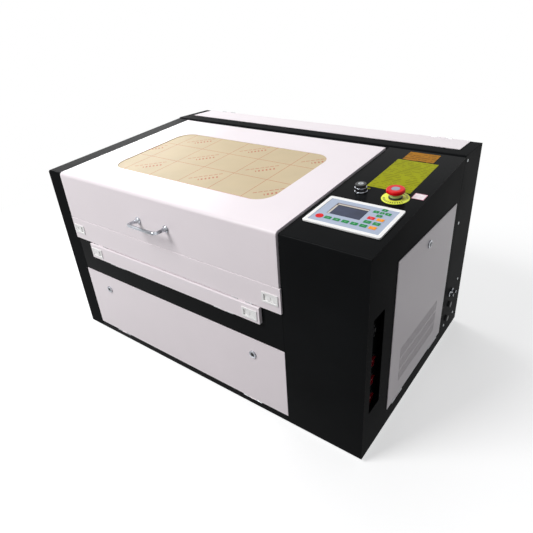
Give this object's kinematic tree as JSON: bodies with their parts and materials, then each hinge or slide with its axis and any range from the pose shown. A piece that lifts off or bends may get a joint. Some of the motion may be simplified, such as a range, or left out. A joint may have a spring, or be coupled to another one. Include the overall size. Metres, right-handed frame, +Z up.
{
  "type": "desktop laser cutter",
  "caption": "Desktop laser cutter in black and white sheet steel with a windowed lid, feed flaps and a control deck.",
  "frame": {"origin": "on the floor under the middle of the machine, at the bottom centre of its bounding box", "axes": "+X towards the right side with the connectors, +Y towards the rear, +Z up"},
  "size_m": [1.0152, 0.7186, 0.5737],
  "materials": {
    "black_coat": "gloss powder coat",
    "white_coat": "satin enamel",
    "zinc_steel": "zinc plated",
    "bright_chrome": "polished",
    "rail_aluminium": "clear anodised",
    "window_pane": "clear sheet under brown protective paper",
    "keypad_film": "textured polyester film",
    "white_moulding": "moulded",
    "black_moulding": "moulded",
    "display_pane": "polished",
    "stop_yellow": "moulded",
    "stop_red": "moulded",
    "switch_red": "moulded, lamp inside",
    "tube_glass": "borosilicate",
    "barb_brass": "turned",
    "supply_case": "grey case",
    "foot_rubber": "moulded"
  },
  "bodies": {
    "cabinet": {"foot_pads": "foot_rubber", "base_plate": "zinc_steel", "left_panel": "black_coat", "right_panel": "black_coat", "front_frame": "black_coat", "rear_cover": "black_coat", "rear_panel": "black_coat", "control_deck": "black_coat", "bay_divider": "zinc_steel", "rear_bulkhead": "black_coat", "connector_recess": "black_coat", "connector_ports": "black_moulding", "hose_barbs": "barb_brass", "exhaust_spigot": "zinc_steel", "laser_tube": "tube_glass", "tube_mounts": "rail_aluminium", "laser_power_supply": "supply_case", "controller": "black_moulding", "y_rails": "rail_aluminium", "fixed_hinges": "zinc_steel", "case_screws": "zinc_steel", "estop_plate": "stop_yellow", "estop_collar": "black_moulding", "key_switch_bezel": "bright_chrome", "key_switch_head": "black_moulding", "panel_bezel": "white_moulding", "keypad_membrane": "keypad_film", "display_glass": "display_pane"},
    "lid": {"lid_shell": "white_coat", "lid_window": "window_pane", "lid_handle": "bright_chrome"},
    "rear_lid": {"rear_lid": "white_coat"},
    "upper_flap": {"upper_flap": "white_coat", "upper_flap_latch_frames": "white_moulding"},
    "upper_slider_left": {"upper_flap_slider_left": "white_moulding"},
    "upper_slider_right": {"upper_flap_slider_right": "white_moulding"},
    "lower_flap": {"lower_flap": "white_coat", "lower_flap_latch_frames": "white_moulding"},
    "lower_slider_left": {"lower_flap_slider_left": "white_moulding"},
    "lower_slider_right": {"lower_flap_slider_right": "white_moulding"},
    "access_panel": {"front_access_panel": "white_coat", "access_lock_barrels": "zinc_steel"},
    "access_core_left": {"access_lock_core_left": "zinc_steel"},
    "access_core_right": {"access_lock_core_right": "zinc_steel"},
    "side_door": {"side_door": "white_coat", "side_lock_barrel": "zinc_steel"},
    "side_core": {"side_lock_core": "zinc_steel"},
    "rocker_bottom": {"rocker_1": "switch_red"},
    "rocker_middle": {"rocker_2": "switch_red"},
    "rocker_top": {"rocker_3": "switch_red"},
    "stop_button": {"estop_mushroom": "stop_red"},
    "key_core": {"key_switch_core": "zinc_steel"},
    "gantry": {"gantry_beam": "rail_aluminium", "second_mirror": "rail_aluminium", "x_drive": "black_moulding"},
    "head": {"laser_head": "rail_aluminium"},
    "table": {"table_frame": "rail_aluminium", "table_slats": "zinc_steel"},
    "screw_left": {"lift_screw_left": "zinc_steel"},
    "screw_right": {"lift_screw_right": "zinc_steel"}
  },
  "joints": [
    {"name": "lid_lift", "type": "hinge", "parent": "cabinet", "child": "lid", "pos_m": [0, 0.1625, 0.56317], "axis": [-1, 0, 0], "range_deg": [0, 70]},
    {"name": "rear_lid_lift", "type": "hinge", "parent": "cabinet", "child": "rear_lid", "pos_m": [0, 0.3175, 0.5725], "axis": [-1, 0, 0], "range_deg": [0, 100]},
    {"name": "upper_flap_drop", "type": "hinge", "parent": "cabinet", "child": "upper_flap", "pos_m": [0, -0.3225, 0.331], "axis": [1, 0, 0], "range_deg": [0, 80]},
    {"name": "upper_slider_left_slide", "type": "slide", "parent": "upper_flap", "child": "upper_slider_left", "axis": [1, 0, 0], "range_m": [0, 0.009]},
    {"name": "upper_slider_right_slide", "type": "slide", "parent": "upper_flap", "child": "upper_slider_right", "axis": [-1, 0, 0], "range_m": [0, 0.009]},
    {"name": "lower_flap_drop", "type": "hinge", "parent": "cabinet", "child": "lower_flap", "pos_m": [0, -0.3265, 0.285], "axis": [1, 0, 0], "range_deg": [0, 90]},
    {"name": "lower_slider_left_slide", "type": "slide", "parent": "lower_flap", "child": "lower_slider_left", "axis": [1, 0, 0], "range_m": [0, 0.009]},
    {"name": "lower_slider_right_slide", "type": "slide", "parent": "lower_flap", "child": "lower_slider_right", "axis": [-1, 0, 0], "range_m": [0, 0.009]},
    {"name": "access_panel_drop", "type": "hinge", "parent": "cabinet", "child": "access_panel", "pos_m": [0, -0.3205, 0.0295], "axis": [1, 0, 0], "range_deg": [0, 90]},
    {"name": "access_lock_left_turn", "type": "hinge", "parent": "access_panel", "child": "access_core_left", "pos_m": [-0.342, -0.3205, 0.181], "axis": [0, -1, 0], "range_deg": [0, 90]},
    {"name": "access_lock_right_turn", "type": "hinge", "parent": "access_panel", "child": "access_core_right", "pos_m": [0.2058, -0.3205, 0.181], "axis": [0, -1, 0], "range_deg": [-90, 0]},
    {"name": "side_door_tilt", "type": "hinge", "parent": "cabinet", "child": "side_door", "pos_m": [0.5015, 0, 0.0565], "axis": [0, 1, 0], "range_deg": [0, 70]},
    {"name": "side_lock_turn", "type": "hinge", "parent": "side_door", "child": "side_core", "pos_m": [0.5015, -0.025, 0.4225], "axis": [1, 0, 0], "range_deg": [0, 90]},
    {"name": "rocker_bottom_press", "type": "hinge", "parent": "cabinet", "child": "rocker_bottom", "pos_m": [0.48, -0.257, 0.133], "axis": [0, -1, 0], "range_deg": [0, 15]},
    {"name": "rocker_middle_press", "type": "hinge", "parent": "cabinet", "child": "rocker_middle", "pos_m": [0.48, -0.257, 0.1855], "axis": [0, -1, 0], "range_deg": [0, 15]},
    {"name": "rocker_top_press", "type": "hinge", "parent": "cabinet", "child": "rocker_top", "pos_m": [0.48, -0.257, 0.238], "axis": [0, -1, 0], "range_deg": [0, 15]},
    {"name": "stop_press", "type": "slide", "parent": "cabinet", "child": "stop_button", "axis": [0, -0.0961, 0.9954], "range_m": [-0.004, 0]},
    {"name": "key_turn", "type": "hinge", "parent": "cabinet", "child": "key_core", "pos_m": [0.358, -0.09, 0.54212], "axis": [0, -0.0961, 0.9954], "range_deg": [0, 90]},
    {"name": "gantry_travel", "type": "slide", "parent": "cabinet", "child": "gantry", "axis": [0, -1, 0], "range_m": [0, 0.3]},
    {"name": "head_travel", "type": "slide", "parent": "gantry", "child": "head", "axis": [1, 0, 0], "range_m": [0, 0.5]},
    {"name": "table_travel", "type": "slide", "parent": "cabinet", "child": "table", "axis": [0, 0, -1], "range_m": [0, 0.048]},
    {"name": "screw_left_turn", "type": "hinge", "parent": "cabinet", "child": "screw_left", "pos_m": [-0.3565, -0.079, 0.1], "axis": [0, 0, 1], "continuous": true},
    {"name": "screw_right_turn", "type": "hinge", "parent": "cabinet", "child": "screw_right", "pos_m": [0.2195, -0.079, 0.1], "axis": [0, 0, 1], "continuous": true}
  ],
  "couplings": [
    {"joint": "screw_left_turn", "follows": "table_travel", "rad_per_m": 628.32},
    {"joint": "screw_right_turn", "follows": "table_travel", "rad_per_m": 628.32}
  ]
}
